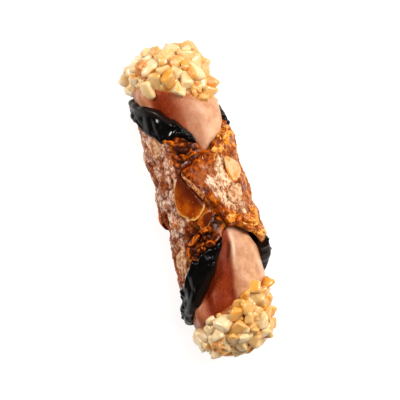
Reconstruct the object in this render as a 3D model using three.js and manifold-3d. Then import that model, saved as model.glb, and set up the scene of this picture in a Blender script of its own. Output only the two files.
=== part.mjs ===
// A filled cannolo, lying on its back with the open front up.
// One square of fried dough is wrapped once round a filling of chocolate cream. Two of its corners overlap
// at the front, so each end has a V-shaped mouth. The rims are dipped in dark chocolate, flaked almonds are
// baked into the crust, and the cream that stands out of both ends is rolled in chopped almonds.
//
// Millimetres and degrees. X runs along the axis, Z is up, and the origin is on the flat that it rests on.
// A "turn" is an angle round the axis: 0 at the top, +90 on the -Y side, -90 on the +Y side, 180 underneath.
// A "wrap" is how far along the rolled dough a place is, counted from its hidden corner.

import * as THREE from "three";
import { mergeVertices } from "three/addons/utils/BufferGeometryUtils.js";
import { ConvexGeometry } from "three/addons/geometries/ConvexGeometry.js";
import Module from "manifold-3d";

// Driving dimensions
const LENGTH = 130; // over the nuts, end to end
const SHELL_RADIUS = 17.4; // outside of the first layer of dough
const DOUGH = 2.2; // thickness of the fried dough
const LAYER_GAP = 0.25; // between the two layers where they overlap
const GAP = 0.3; // clearance between separate pieces
const REST_CUT = 0.4; // how much of the round underside the rest flat takes off
const FLAKE_THICKNESS = 1.1; // of a flaked almond
const NUT_LARGEST = 8; // length of a chopped almond
const NUT_SMALLEST = 4.4;
const COAT = 1.3; // chocolate over the rim, with its clearance
const COAT_THIN = 0.8; // the same where it was wiped, on the flap's side

// The wrap: the hidden corner starts under the front, and the dough goes round past the left and the back
const HIDDEN_TURN = 35;
const FLAP_TIP_TURN = -18.5; // the last corner, on top of the first
const WRAP_END = 360 + HIDDEN_TURN - FLAP_TIP_TURN;
const BACK_WRAP = HIDDEN_TURN + 180;

// Where the mouths' edges run along X
const HEAD_APEX = { turn: 16, x: 19.4 };
const FOOT_APEX = { turn: 20, x: -13.4 };
const HEAD_BACK = 46.2;
const FOOT_BACK = -47.2;
const FLAP_TIP_X = 11.6;
const FLAP_CORNER = { turn: 22, x: -12.2 };

const RIM_ZONE = 11; // length over which the wall flares or lifts towards its rim
const RIM_FLARE = 0.9;
const RIM_LIFT = 2.5;
const SPREAD = 0.9; // how much wider the flap's side lies at the foot than in the middle
const HEAD_PINCH = 2.2; // how far the same side draws in at the head rim

// The cream
const PLUG_HALF_WIDTH = 15.5;
const PLUG_HALF_HEIGHT = 15.4;
const PLUG_SIDE = 0.9; // its centre to the left of the shell's axis
const PLUG_RISE = 1.1; // and above it
const NUT_STAND = 3.2; // how far the nuts stand out of the ends
const PLUG_END = LENGTH / 2 - NUT_STAND;
const PLUG_ROUND = 9; // length over which its end rounds off, on a curve of this power:
const PLUG_POWER = 2.3;
const MOUTH_RADIUS = 16.4; // of the cream that shows in the V of a mouth
const CORE_SLACK = 0.4; // between the cream inside the shell and its inner face

// How finely the dough is divided: round the wrap and along the axis
const DOUGH_ROWS = 48;
const DOUGH_COLUMNS = 10;

const radians = THREE.MathUtils.degToRad;
const { clamp, lerp, smoothstep } = THREE.MathUtils;
const BACK_RADIUS = SHELL_RADIUS + 0.6;
const AXIS_HEIGHT = BACK_RADIUS - REST_CUT;

const wasm = await Module();
wasm.setup();

// A point at a turn round the axis, a place along it and a distance from it
function at(turn, x, radius) {
  const a = radians(turn);
  return new THREE.Vector3(x, -radius * Math.sin(a), AXIS_HEIGHT + radius * Math.cos(a));
}

function outwardAt(turn) {
  return at(turn, 0, 1).sub(at(turn, 0, 0));
}

// Random numbers from a seed, the same in every run
function seeded(seed) {
  let state = seed;
  return () => {
    state = (Math.imul(state, 1664525) + 1013904223) >>> 0;
    return state / 4294967296;
  };
}

// A closed three.js geometry whose vertices are moved by a function becomes a solid
function solidFrom(geometry, move) {
  for (const name of ["normal", "uv"]) geometry.deleteAttribute(name);
  const merged = mergeVertices(geometry, 1e-4);
  const position = merged.attributes.position;
  const point = new THREE.Vector3();
  for (let i = 0; i < position.count; i += 1) {
    const moved = move(point.fromBufferAttribute(position, i));
    position.setXYZ(i, moved.x, moved.y, moved.z);
  }
  const triVerts = new Uint32Array(merged.index.array);
  const mesh = { numProp: 3, vertProperties: new Float32Array(position.array), triVerts };
  const solid = new wasm.Manifold(new wasm.Mesh(mesh));
  if (solid.volume() > 0) return solid;
  triVerts.reverse();
  return new wasm.Manifold(new wasm.Mesh(mesh));
}

function largest(solid) {
  return solid.decompose().reduce((best, next) => (next.volume() > best.volume() ? next : best));
}

function joined(solids) {
  return solids.reduce((sum, next) => sum.add(next));
}

// Everything above a height
function above(height) {
  const size = 2 * LENGTH;
  return solidFrom(new THREE.BoxGeometry(size, size, size), (p) => p.setZ(p.z + size / 2 + height).clone());
}

// The rolled dough

function turnOf(wrap) {
  return HIDDEN_TURN - wrap;
}

// The mouths' edges. On the left they leave the V steeply and flatten out. On the right they run straight.
function headEdge(wrap) {
  if (wrap > BACK_WRAP) {
    const turn = turnOf(wrap) + 360;
    const ragged = 0.35 * Math.sin(turn / 5) + 0.25 * Math.sin(turn / 2.3);
    return lerp(FLAP_TIP_X, HEAD_BACK, (turn - FLAP_TIP_TURN) / (180 - FLAP_TIP_TURN)) + ragged;
  }
  const past = HEAD_APEX.turn - turnOf(wrap);
  const ragged = 0.4 * Math.sin(past / 7) + 0.3 * Math.sin(past / 3.1);
  if (past < 0) return HEAD_APEX.x + past * 0.45;
  return HEAD_APEX.x + (HEAD_BACK - HEAD_APEX.x) * (1 - Math.exp(-past / 46)) + ragged;
}

function footEdge(wrap) {
  if (wrap > BACK_WRAP) {
    const turn = turnOf(wrap) + 360;
    if (turn < FLAP_CORNER.turn) {
      const share = (FLAP_CORNER.turn - turn) / (FLAP_CORNER.turn - FLAP_TIP_TURN);
      return lerp(FLAP_CORNER.x, FLAP_TIP_X - 1.6, share) + 0.4 * Math.sin(share * 9);
    }
    const share = (turn - FLAP_CORNER.turn) / (180 - FLAP_CORNER.turn);
    return lerp(FLAP_CORNER.x, FOOT_BACK, share ** 1.2) + 0.35 * Math.sin(turn / 4.1);
  }
  const past = FOOT_APEX.turn - turnOf(wrap);
  if (past < 0) return FOOT_APEX.x - past * 0.45;
  const ragged = 0.4 * Math.sin(past / 6.3) + 0.3 * Math.sin(past / 2.7);
  return FOOT_APEX.x + (FOOT_BACK - FOOT_APEX.x) * (1 - Math.exp(-((past / 52) ** 1.25))) + ragged;
}

// Distance from the axis to the outside of the dough: each layer lies on the one before it. The foot rim
// flares out, the flap's side draws in towards the head, and at both rims the back lifts clear of the table.
function doughRadius(wrap, x) {
  const climb = smoothstep(wrap, BACK_WRAP - 65, 350) * (DOUGH + LAYER_GAP);
  const underneath = smoothstep(-Math.cos(radians(turnOf(wrap))), 0.35, 0.92);
  const front = smoothstep(Math.cos(radians(turnOf(wrap))), 0.55, 0.92);
  const flapSide = smoothstep(wrap, 240, 300);
  const fromRim = Math.min(headEdge(wrap) - x, x - footEdge(wrap));
  const rim = 1 - smoothstep(fromRim, 0, RIM_ZONE);
  const flare = RIM_FLARE * smoothstep(-x, -20, 20) * (1 - flapSide) * (1 - front) * (1 - underneath);
  const narrowing = SPREAD * clamp(x / 22, -1, 1) + HEAD_PINCH * smoothstep(x, 18, 34);
  const drawnIn = narrowing * flapSide * (1 - front) * (1 - underneath);
  return SHELL_RADIUS + climb - drawnIn + rim * (flare - RIM_LIFT * underneath);
}

// Blisters of the fried surface, kept off the dough that the flap covers
function blister(wrap, x) {
  const open = smoothstep(wrap, 38, 70);
  const broad = Math.sin(x / 4.1 + wrap / 21) * Math.sin(wrap / 13.3 - x / 9);
  const fine = Math.sin(x / 2.3 - wrap / 7.9) * Math.sin(wrap / 5.7 + x / 3.7);
  return open * (0.4 * broad + 0.35 * fine);
}

// The dough from one row of its division to another, as a box bent round the axis, grown by a clearance
function dough(fromRow, toRow, grow) {
  const growWrap = (grow / SHELL_RADIUS) * (180 / Math.PI);
  return solidFrom(new THREE.BoxGeometry(1, 1, 1, DOUGH_COLUMNS, toRow - fromRow, 1), (p) => {
    const wrap = (lerp(fromRow, toRow, p.y + 0.5) / DOUGH_ROWS) * WRAP_END;
    const ends = p.y > 0.499 ? 1 : p.y < -0.499 ? -1 : 0;
    const x = lerp(footEdge(wrap) - grow, headEdge(wrap) + grow, p.x + 0.5);
    const outside = doughRadius(wrap, x);
    const radius = p.z > 0 ? outside + blister(wrap, x) + grow : outside - DOUGH - grow;
    return at(turnOf(wrap + ends * growWrap), x, radius);
  });
}

// Each half is grown by itself, because the grown layers meet where they overlap
function grownDough(grow) {
  const half = DOUGH_ROWS / 2;
  return dough(0, half, grow).add(dough(half - 1, DOUGH_ROWS, grow));
}

// Flaked almonds. Each is a thin oval with one pointed end, laid on the crust and bent with it.
const FLAKES = [
  { name: "almond_flake_front", turn: -15, x: 2.8, long: 19, wide: 13.5, spin: 12 },
  { name: "almond_flake_small", turn: -5, x: -10.9, long: 7.5, wide: 6, spin: 75 },
  { name: "almond_flake_right", turn: 47, x: 8.8, long: 11.5, wide: 8.8, spin: -28 },
  { name: "almond_flake_right_low", turn: 50, x: -2, long: 9, wide: 8, spin: 50 },
  { name: "almond_flake_left", turn: -96, x: -2.6, long: 12, wide: 9, spin: 8 },
  { name: "almond_flake_left_high", turn: -44, x: 24.4, long: 10, wide: 8, spin: 70 },
  { name: "almond_flake_left_low", turn: -55, x: -21.5, long: 11, wide: 8.5, spin: 35 },
  { name: "almond_flake_back_right", turn: 118, x: 6, long: 16, wide: 11.5, spin: 62 },
  { name: "almond_flake_back_left", turn: -130, x: 17, long: 15, wide: 11, spin: -40 },
];

function wrapAt(turn, x) {
  const over = 360 + HIDDEN_TURN - turn;
  const covered = over <= WRAP_END && x > footEdge(over) && x < headEdge(over);
  return covered || turn > HIDDEN_TURN ? over : HIDDEN_TURN - turn;
}

function flake({ turn, x, long, wide, spin }) {
  const seat = doughRadius(wrapAt(turn, x), x) + GAP + 0.35;
  const a = radians(spin);
  return solidFrom(new THREE.SphereGeometry(1, 12, 6), (p) => {
    const reach = Math.hypot(p.x, p.z);
    const spread = Math.min(1, reach * 1.25) / Math.max(reach, 1e-6);
    const along = p.x * spread * (long / 2);
    const pointed = 1 - 0.28 * (p.x * spread + 0.3);
    const across = p.z * spread * (wide / 2) * pointed;
    const lift = Math.sign(p.y) * (FLAKE_THICKNESS / 2) * Math.min(1, Math.abs(p.y) * 1.6);
    const dx = along * Math.cos(a) - across * Math.sin(a);
    const around = along * Math.sin(a) + across * Math.cos(a);
    const there = (around / seat) * (180 / Math.PI);
    return at(turn + there, x + dx, seat + FLAKE_THICKNESS / 2 + lift);
  });
}

// A chopped almond: a block with its corners knocked about, as a knife leaves it
function chip(random, length, width, height) {
  const corners = [-1, 1].flatMap((x) => [-1, 1].flatMap((y) => [-1, 1].map((z) => [x, y, z])));
  const knocked = corners.map(([x, y, z]) => {
    const squeeze = z > 0 ? 0.8 : 1;
    const [a, b, c] = [0.66 + 0.34 * random(), 0.66 + 0.34 * random(), 0.7 + 0.3 * random()];
    const corner = new THREE.Vector3(x * squeeze * a * length, y * squeeze * b * width, z * c * height);
    return corner.divideScalar(2);
  });
  return new ConvexGeometry(knocked);
}

// Sets a chip on a surface, with its flat side along it
function setOn(geometry, point, normal, spin, tilt) {
  const upright = new THREE.Quaternion().setFromUnitVectors(new THREE.Vector3(0, 0, 1), normal);
  const turned = new THREE.Quaternion().setFromEuler(new THREE.Euler(tilt, tilt / 2, spin));
  const place = upright.multiply(turned);
  return solidFrom(geometry, (p) => p.clone().applyQuaternion(place).add(point));
}

// Chips baked into the crust: thick along the two rims beside the flap, and few elsewhere. None lies where
// the chocolate, a flaked almond or the table would meet it.
const RIM_CHIPS = 24;
const FIELD_CHIPS = 10;
const CHIP_SPACING = 2.9;
const CHIP_HEIGHT = 2.3;
const COAT_REACH = 14; // from a rim to where the chocolate has surely ended

function chipPlace(random, onRim) {
  const wrap = onRim ? lerp(WRAP_END - 92, WRAP_END - 42, random()) : lerp(60, WRAP_END - 45, random());
  const inset = 2.2 + random() * (onRim ? 6 : 20);
  const x = random() < 0.5 ? headEdge(wrap) - inset : footEdge(wrap) + inset;
  const turn = turnOf(wrap);
  const point = at(turn, x, doughRadius(wrap, x));
  const underneath = Math.cos(radians(turn)) < -0.6;
  const underChocolate = inset < COAT_REACH && wrap < WRAP_END - 96;
  const atFlake = FLAKES.some((f) => at(f.turn, f.x, SHELL_RADIUS).distanceTo(point) < f.long / 2 + 3.4);
  return { turn, point, free: !underneath && !underChocolate && !atFlake };
}

function crustChips() {
  const random = seeded(11);
  const chips = [];
  const placed = [];
  for (let tries = 0; tries < 4000 && chips.length < RIM_CHIPS + FIELD_CHIPS; tries += 1) {
    const { turn, point, free } = chipPlace(random, chips.length < RIM_CHIPS);
    if (!free || placed.some((other) => other.distanceTo(point) < CHIP_SPACING)) continue;
    placed.push(point);
    const length = lerp(3.4, 5.4, random());
    const geometry = chip(random, length, length * 0.7, CHIP_HEIGHT);
    chips.push(setOn(geometry, point, outwardAt(turn), random() * Math.PI, 0.25));
  }
  return joined(chips);
}

// The chocolate on a rim: it wraps the edge of the dough inside and out, and runs down the crust in drips.
// It leaves free the rim beside the flap, which shows baked almonds.
const COAT_FROM = 24;
const COAT_TO = WRAP_END - 97;

function coat(edge, along, drip, fall, grow) {
  const rows = 28;
  return solidFrom(new THREE.BoxGeometry(1, 1, 1, 3, rows, 1), (p) => {
    const wrap = lerp(COAT_FROM, COAT_TO, p.y + 0.5);
    const ends = Math.min(1, (wrap - COAT_FROM + 3) / 26, (COAT_TO - wrap + 3) / 26);
    const runs = 1.3 * Math.sin(wrap / 11 + drip) + 0.9 * Math.sin(wrap / 4.7 + 2 * drip);
    const flapSide = smoothstep(wrap, 240, 300);
    const down = (lerp(fall, 5.4, flapSide) + runs) * ends + 1.2;
    const inset = lerp(COAT * 0.9 + grow, -down - grow, p.x + 0.5);
    const x = edge(wrap) + along * inset;
    const reach = clamp((0.5 - p.x) * 3, 0.62, 1);
    const lumps = 0.3 * Math.sin(wrap / 3.9 + x) * Math.sin(x / 1.7 + drip);
    const outside = doughRadius(wrap, clamp(x, footEdge(wrap), headEdge(wrap)));
    const thick = (lerp(COAT + 0.25, COAT_THIN, flapSide) + lumps) * reach;
    const radius = p.z > 0 ? outside + thick + grow : outside - DOUGH - COAT * 0.85 - grow;
    return at(turnOf(wrap), x, radius);
  });
}

// How far out along X the dough reaches at a turn
function rimAt(turn, edge, along) {
  const layers = [HIDDEN_TURN - turn, 360 + HIDDEN_TURN - turn];
  const there = layers.filter((wrap) => wrap >= 0 && wrap <= WRAP_END);
  return Math.max(...there.map((wrap) => along * edge(wrap)));
}

// The cream: a core through the whole shell that swells into the V of each mouth, with the folds the piping
// bag leaves, and stands out of each end as a blunt plug.
function creamRadius(turn, x) {
  const along = Math.sign(x) || 1;
  const out = Math.abs(x);
  const a = radians(turn);
  const [side, up] = [-Math.sin(a) / PLUG_HALF_WIDTH, Math.cos(a) / PLUG_HALF_HEIGHT];
  const [sideOff, upOff] = [PLUG_SIDE / PLUG_HALF_WIDTH, PLUG_RISE / PLUG_HALF_HEIGHT];
  const square = side ** 2 + up ** 2;
  const middle = side * sideOff + up * upOff;
  const plug = (middle + Math.sqrt(middle ** 2 + square * (1 - sideOff ** 2 - upOff ** 2))) / square;
  const ridge = Math.tanh((turn - lerp(26, 11, clamp((out - 18) / 18, 0, 1))) / 5);
  const sharp = 0.8 * ridge * Math.exp(-(((turn - 18) / 34) ** 2));
  const fold = along < 0 ? sharp : 0.5 * Math.sin((turn - 4) / 22);
  const lobe = 1.3 * Math.exp(-(((turn + 52) / 15) ** 2) - ((out - 45) / 6) ** 2);
  const open = lerp(MOUTH_RADIUS + fold, plug, smoothstep(out, 32, 44)) + lobe;
  const hidden = SHELL_RADIUS - DOUGH - GAP - CORE_SLACK;
  const rim = rimAt(turn, along > 0 ? headEdge : footEdge, along);
  return lerp(hidden, open, smoothstep(out, rim - 4, rim + 1.5));
}

function plugProfile(x) {
  const share = clamp((Math.abs(x) - (PLUG_END - PLUG_ROUND)) / PLUG_ROUND, 0, 1);
  return (1 - share ** PLUG_POWER) ** (1 / PLUG_POWER);
}

function cream() {
  const stations = 24;
  return solidFrom(new THREE.SphereGeometry(1, 20, stations), (p) => {
    const latitude = Math.asin(clamp(p.y, -1, 1)) / (Math.PI / 2);
    const share = Math.abs(latitude);
    const x = Math.sign(latitude) * PLUG_END * Math.sin((share * Math.PI) / 2) ** 0.9;
    const turn = THREE.MathUtils.radToDeg(Math.atan2(p.x, p.z));
    const round = Math.hypot(p.x, p.z) < 1e-6 ? 0 : Math.max(plugProfile(x), 0.05);
    return at(turn, x, creamRadius(turn, x) * round);
  });
}

// Where the chopped nuts begin: the ends were rolled a little askew
function nutLine(turn, edge, along) {
  const rolled = 41 - 5.6 * Math.tanh((turn - 5) / 26);
  return Math.max(rolled, rimAt(turn, edge, along) + COAT + 1.2);
}

// Chopped almonds, the largest first and spread evenly over the cream that stands out
const NUTS_AT_AN_END = 56;
const NUT_SPACING = 0.455; // centre to centre, as a share of two nuts' lengths
const NUT_SINK = 1.7; // how deep a nut is pressed into the cream

function nutPlace(random, along) {
  const turn = lerp(-180, 180, random());
  const onEnd = random() < 0.35;
  const inward = 0.96 * Math.sqrt(random());
  const roundOff = PLUG_ROUND * (1 - (1 - inward ** PLUG_POWER) ** (1 / PLUG_POWER));
  const x = onEnd ? PLUG_END - roundOff : lerp(34, PLUG_END - 5, random());
  const point = at(turn, along * x, creamRadius(turn, along * x) * plugProfile(x));
  const lean = clamp((x - (PLUG_END - PLUG_ROUND)) / PLUG_ROUND, 0, 1) ** 1.6;
  const endward = new THREE.Vector3(along, 0, 0);
  const normal = outwardAt(turn).multiplyScalar(1 - lean).addScaledVector(endward, lean).normalize();
  return { turn, x, point, normal };
}

function nuts(edge, along, seed) {
  const random = seeded(seed);
  const placed = [];
  for (let tries = 0; tries < 40000 && placed.length < NUTS_AT_AN_END; tries += 1) {
    const size = lerp(NUT_LARGEST, NUT_SMALLEST, (placed.length / NUTS_AT_AN_END) ** 0.7);
    const { turn, x, point, normal } = nutPlace(random, along);
    const onBareCream = x < nutLine(turn, edge, along) + size * 0.4;
    const crowded = (other) => other.point.distanceTo(point) < (other.size + size) * NUT_SPACING;
    if (!onBareCream && !placed.some(crowded)) placed.push({ point, size, normal });
  }
  return placed.map(({ point, size, normal }) => {
    const height = Math.min(size * 0.74, 4.8);
    const geometry = chip(random, size * 1.08, size * lerp(0.66, 0.88, random()), height);
    const seat = point.clone().addScaledVector(normal, height / 2 - NUT_SINK);
    return setOn(geometry, seat, normal, random() * Math.PI * 2, (random() - 0.5) * 0.7);
  });
}

// The pieces, each cut clear of those it meets
const table = above(0);
const clearOfTable = above(GAP);
const plainDough = dough(0, DOUGH_ROWS, 0);
const doughSpace = grownDough(GAP);
const shell = largest(plainDough.add(crustChips()).intersect(table));

const atHead = (grow) => coat(headEdge, 1, 0.4, 6.4, grow);
const atFoot = (grow) => coat(footEdge, -1, 2.1, 8.2, grow);
const headCoat = largest(atHead(0).subtract(doughSpace).intersect(clearOfTable));
const footCoat = largest(atFoot(0).subtract(doughSpace).intersect(clearOfTable));
const coatSpace = atHead(GAP).add(atFoot(GAP));

const filling = joined([cream(), ...nuts(headEdge, 1, 5), ...nuts(footEdge, -1, 23)]);
const creamAndNuts = largest(filling.subtract(doughSpace).subtract(coatSpace).intersect(clearOfTable));

function meshOf(name, solid, material) {
  const { numProp, vertProperties, triVerts } = solid.getMesh();
  const positions = new Float32Array((vertProperties.length / numProp) * 3);
  for (let i = 0; i < positions.length / 3; i += 1) {
    positions.set(vertProperties.subarray(i * numProp, i * numProp + 3), i * 3);
  }
  const geometry = new THREE.BufferGeometry();
  geometry.setAttribute("position", new THREE.BufferAttribute(positions, 3));
  geometry.setIndex(new THREE.BufferAttribute(new Uint32Array(triVerts), 1));
  geometry.computeVertexNormals();
  const mesh = new THREE.Mesh(geometry, material);
  mesh.name = name;
  return mesh;
}

const crustLook = new THREE.MeshStandardMaterial({ color: 0xb5713c, roughness: 0.6 });
const chocolateLook = new THREE.MeshStandardMaterial({ color: 0x1c100b, roughness: 0.25 });
const creamLook = new THREE.MeshStandardMaterial({ color: 0xb06d4c, roughness: 0.45 });
const almondLook = new THREE.MeshStandardMaterial({ color: 0xd89a4a, roughness: 0.5 });

const cannolo = new THREE.Group();
cannolo.add(meshOf("shell", shell, crustLook));
cannolo.add(meshOf("cream", creamAndNuts, creamLook));
cannolo.add(meshOf("chocolate_rim_head", headCoat, chocolateLook));
cannolo.add(meshOf("chocolate_rim_foot", footCoat, chocolateLook));
for (const one of FLAKES) {
  const cut = largest(flake(one).subtract(doughSpace).intersect(clearOfTable));
  cannolo.add(meshOf(one.name, cut, almondLook));
}

export default cannolo;
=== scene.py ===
# A filled cannolo on a pale table, seen from straight above.
# X runs along the roll to its head, Z is up, and the origin is on the flat that it rests on. A "turn" is an
# angle round the roll's axis: 0 at the top, +90 on the -Y side, -90 on the +Y side, 180 underneath.

import math
import random

import bmesh
import bpy
import numpy as np
from mathutils import Matrix, Vector, noise


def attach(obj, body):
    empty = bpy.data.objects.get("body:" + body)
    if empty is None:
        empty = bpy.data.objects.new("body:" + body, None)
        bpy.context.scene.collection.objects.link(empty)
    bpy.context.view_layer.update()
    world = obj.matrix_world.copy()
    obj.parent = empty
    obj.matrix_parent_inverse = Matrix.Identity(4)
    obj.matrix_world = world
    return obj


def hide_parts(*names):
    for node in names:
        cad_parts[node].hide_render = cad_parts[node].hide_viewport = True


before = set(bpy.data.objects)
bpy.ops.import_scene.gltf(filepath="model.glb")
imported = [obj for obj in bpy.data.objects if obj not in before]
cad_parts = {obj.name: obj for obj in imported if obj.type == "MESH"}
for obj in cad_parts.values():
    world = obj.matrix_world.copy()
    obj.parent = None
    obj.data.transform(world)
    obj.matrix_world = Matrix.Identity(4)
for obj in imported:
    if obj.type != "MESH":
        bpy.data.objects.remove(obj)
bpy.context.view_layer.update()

# The rolled dough
# One square of fried dough, wrapped cornerwise round a tube, so that its last corner laps over its first.
# A "wrap" is how far along the roll a place is, in degrees from the hidden corner. Sizes here are in mm.

MM = 0.001
SHELL_RADIUS = 17.4
DOUGH = 2.2
LAYER_GAP = 0.25
REST_CUT = 0.4
AXIS_HEIGHT = SHELL_RADIUS + 0.6 - REST_CUT
HIDDEN_TURN = 35
FLAP_TIP_TURN = -18.5
WRAP_END = 360 + HIDDEN_TURN - FLAP_TIP_TURN
BACK_WRAP = HIDDEN_TURN + 180
HEAD_APEX_TURN, HEAD_APEX_X = 16, 19.4
FOOT_APEX_TURN, FOOT_APEX_X = 20, -13.4
HEAD_BACK, FOOT_BACK = 46.2, -47.2
FLAP_TIP_X = 11.6
FLAP_CORNER_TURN, FLAP_CORNER_X = 22, -12.2
FLAP_SIDE = (240, 300)  # the wraps between which the roll's side turns into the flap's side
RIM_ZONE = 11  # how far in from a rim the dough bends
RIM_FLARE = 0.9
RIM_LIFT = 2.5  # how far the rims stand clear of the table
SPREAD = 0.9
HEAD_PINCH = 2.2


def smooth(value, low, high):
    share = np.clip((value - low) / (high - low), 0, 1)
    return share * share * (3 - 2 * share)


def mixed(low, high, share):
    return low + (high - low) * share


def hump(value, middle, reach):
    """1 at a middle value, falling to 0 on both sides of it"""
    return np.exp(-(((value - middle) / reach) ** 2))


def at(turn, x, radius):
    """Points in mm at turns round the axis, places along it and distances from it"""
    angle = np.radians(turn)
    turn, x, radius = np.broadcast_arrays(turn, x, radius)
    return np.stack([x, -radius * np.sin(angle), AXIS_HEIGHT + radius * np.cos(angle)], -1)


def head_edge(wrap):
    turn = 360 + HIDDEN_TURN - wrap
    straight = mixed(FLAP_TIP_X, HEAD_BACK, (turn - FLAP_TIP_TURN) / (180 - FLAP_TIP_TURN))
    straight = straight + 0.35 * np.sin(turn / 5) + 0.25 * np.sin(turn / 2.3)
    past = HEAD_APEX_TURN - HIDDEN_TURN + wrap
    ragged = 0.4 * np.sin(past / 7) + 0.3 * np.sin(past / 3.1)
    bowed = HEAD_APEX_X + (HEAD_BACK - HEAD_APEX_X) * (1 - np.exp(-np.maximum(past, 0) / 46)) + ragged
    under_flap = HEAD_APEX_X + past * 0.45
    return np.where(wrap > BACK_WRAP, straight, np.where(past < 0, under_flap, bowed))


def foot_edge(wrap):
    turn = 360 + HIDDEN_TURN - wrap
    seam_share = (FLAP_CORNER_TURN - turn) / (FLAP_CORNER_TURN - FLAP_TIP_TURN)
    seam = mixed(FLAP_CORNER_X, FLAP_TIP_X - 1.6, seam_share) + 0.4 * np.sin(seam_share * 9)
    right_share = np.maximum(turn - FLAP_CORNER_TURN, 0) / (180 - FLAP_CORNER_TURN)
    right = mixed(FLAP_CORNER_X, FOOT_BACK, right_share**1.2) + 0.35 * np.sin(turn / 4.1)
    past = FOOT_APEX_TURN - HIDDEN_TURN + wrap
    ragged = 0.4 * np.sin(past / 6.3) + 0.3 * np.sin(past / 2.7)
    fall = 1 - np.exp(-((np.maximum(past, 0) / 52) ** 1.25))
    bowed = FOOT_APEX_X + (FOOT_BACK - FOOT_APEX_X) * fall + ragged
    under_flap = FOOT_APEX_X - past * 0.45
    left = np.where(past < 0, under_flap, bowed)
    return np.where(wrap > BACK_WRAP, np.where(turn < FLAP_CORNER_TURN, seam, right), left)


def dough_radius(wrap, x):
    """Distance from the axis to the outside of the dough, before its blisters"""
    turn = np.radians(HIDDEN_TURN - wrap)
    climb = smooth(wrap, BACK_WRAP - 65, 350) * (DOUGH + LAYER_GAP)
    underneath = smooth(-np.cos(turn), 0.35, 0.92)
    front = smooth(np.cos(turn), 0.55, 0.92)
    flap_side = smooth(wrap, *FLAP_SIDE)
    rim = 1 - smooth(np.minimum(head_edge(wrap) - x, x - foot_edge(wrap)), 0, RIM_ZONE)
    flare = RIM_FLARE * smooth(-x, -20, 20) * (1 - flap_side) * (1 - front) * (1 - underneath)
    narrowing = SPREAD * np.clip(x / 22, -1, 1) + HEAD_PINCH * smooth(x, 18, 34)
    drawn_in = narrowing * flap_side * (1 - front) * (1 - underneath)
    return SHELL_RADIUS + climb - drawn_in + rim * (flare - RIM_LIFT * underneath)


def grain(places, size, seed, octaves=3):
    """Fractal noise, about -1 to 1, at places in mm"""
    shift = Vector((seed * 7.31, seed * 3.17, seed * 5.77))
    flat = places.reshape(-1, 3) / size
    found = [noise.fractal(Vector(p) + shift, 0.9, 2.1, octaves) for p in flat.tolist()]
    return np.array(found).reshape(places.shape[:-1])


def cells(places, size, seed):
    """Distance to the nearest of points scattered about one size apart, as a share of that size"""
    shift = Vector((seed * 4.71, seed * 9.13, seed * 2.39))
    flat = places.reshape(-1, 3) / size
    found = [noise.voronoi(Vector(p) + shift)[0][0] for p in flat.tolist()]
    return np.array(found).reshape(places.shape[:-1])


def creases(places, size, seed, octaves, sharpness):
    """1 along winding lines on a surface, and 0 away from them"""
    return np.clip(1 - np.abs(grain(places, size, seed, octaves)) * sharpness, 0, 1)


def add(name, data):
    """A new object in the scene"""
    thing = bpy.data.objects.new(name, data)
    bpy.context.collection.objects.link(thing)
    return thing


def skin(name, rings):
    """A closed mesh from an array of rings of points in mm, its two ends filled"""
    rows, ring = rings.shape[:2]
    index = np.arange(rows * ring).reshape(rows, ring)
    here, there = index[:-1], index[1:]
    faces = np.stack([here, np.roll(here, -1, 1), np.roll(there, -1, 1), there], -1).reshape(-1, 4)
    mesh = bpy.data.meshes.new(name)
    caps = [index[0][::-1].tolist(), index[-1].tolist()]
    mesh.from_pydata((rings.reshape(-1, 3) * MM).tolist(), [], faces.tolist() + caps)
    model = bmesh.new()
    model.from_mesh(mesh)
    bmesh.ops.triangulate(model, faces=[f for f in model.faces if len(f.verts) > 4])
    bmesh.ops.recalc_face_normals(model, faces=model.faces)
    model.to_mesh(mesh)
    model.free()
    mesh.shade_smooth()
    return add(name, mesh)


def paint(piece, **masks):
    """Stores a value from 0 to 1 for each point of a piece, for its finish to read"""
    for name, values in masks.items():
        layer = piece.data.attributes.new(name, "FLOAT", "POINT")
        layer.data.foreach_set("value", np.clip(values, 0, 1).astype(np.float32).ravel())


DOUGH_ROWS = 330
OUTER_COLUMNS = 200
EDGE_COLUMNS = 9
INNER_COLUMNS = 24
SEAM_SLANT = 4.4  # how far the flap's cut edge slopes back, along X
RIM_SLANT = 0.9
CORNER_SLANT = 3.0  # the same at the flap's tip, in degrees of wrap
DEEPEST_DENT = -1.6
SIDE_SWELLS = [  # where the two sides swell and draw in: turn, x, reach along x, and height
    (-90, 20, 4.5, 1.0),
    (-90, 8.5, 3.0, -0.8),
    (-92, 0, 4.0, 0.6),
    (-88, -9.2, 2.2, -1.5),
    (82, 12, 8.0, -1.1),
    (82, -3, 5.0, -0.9),
    (78, -10, 2.5, 0.5),
]
SWELL_TURN = 24  # how far round the roll each of them reaches
BURNT_SPOTS = [  # where the caramel burnt by the two mouths: strength, turn, x, and the reach of both
    (1, -6, 19, 20, 6.5),
    (1, -4, -14.5, 24, 6.5),
    (0.6, -30, -19, 12, 6),
    (0.8, 9, -8, 9, 4),
]
CHIPS_FROM = (318, 326)  # the wraps between which the rims' baked almonds begin

wrap = np.linspace(0, WRAP_END, DOUGH_ROWS)[:, None]
seam = smooth(wrap, WRAP_END - 42, WRAP_END - 16)
corner = smooth(wrap, WRAP_END - 16, WRAP_END)
outer_wrap = wrap - CORNER_SLANT * corner
foot_slant = mixed(RIM_SLANT, SEAM_SLANT, seam) * mixed(1, 0.68, corner)
along = np.linspace(0, 1, OUTER_COLUMNS)[None, :]
head_slant = RIM_SLANT * mixed(1, 0.3, corner)
outer_x = mixed(foot_edge(outer_wrap) + foot_slant, head_edge(outer_wrap) - head_slant, along)
outer_wrap = outer_wrap + 0 * outer_x
smooth_outer = at(HIDDEN_TURN - outer_wrap, outer_x, dough_radius(outer_wrap, outer_x))

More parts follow.
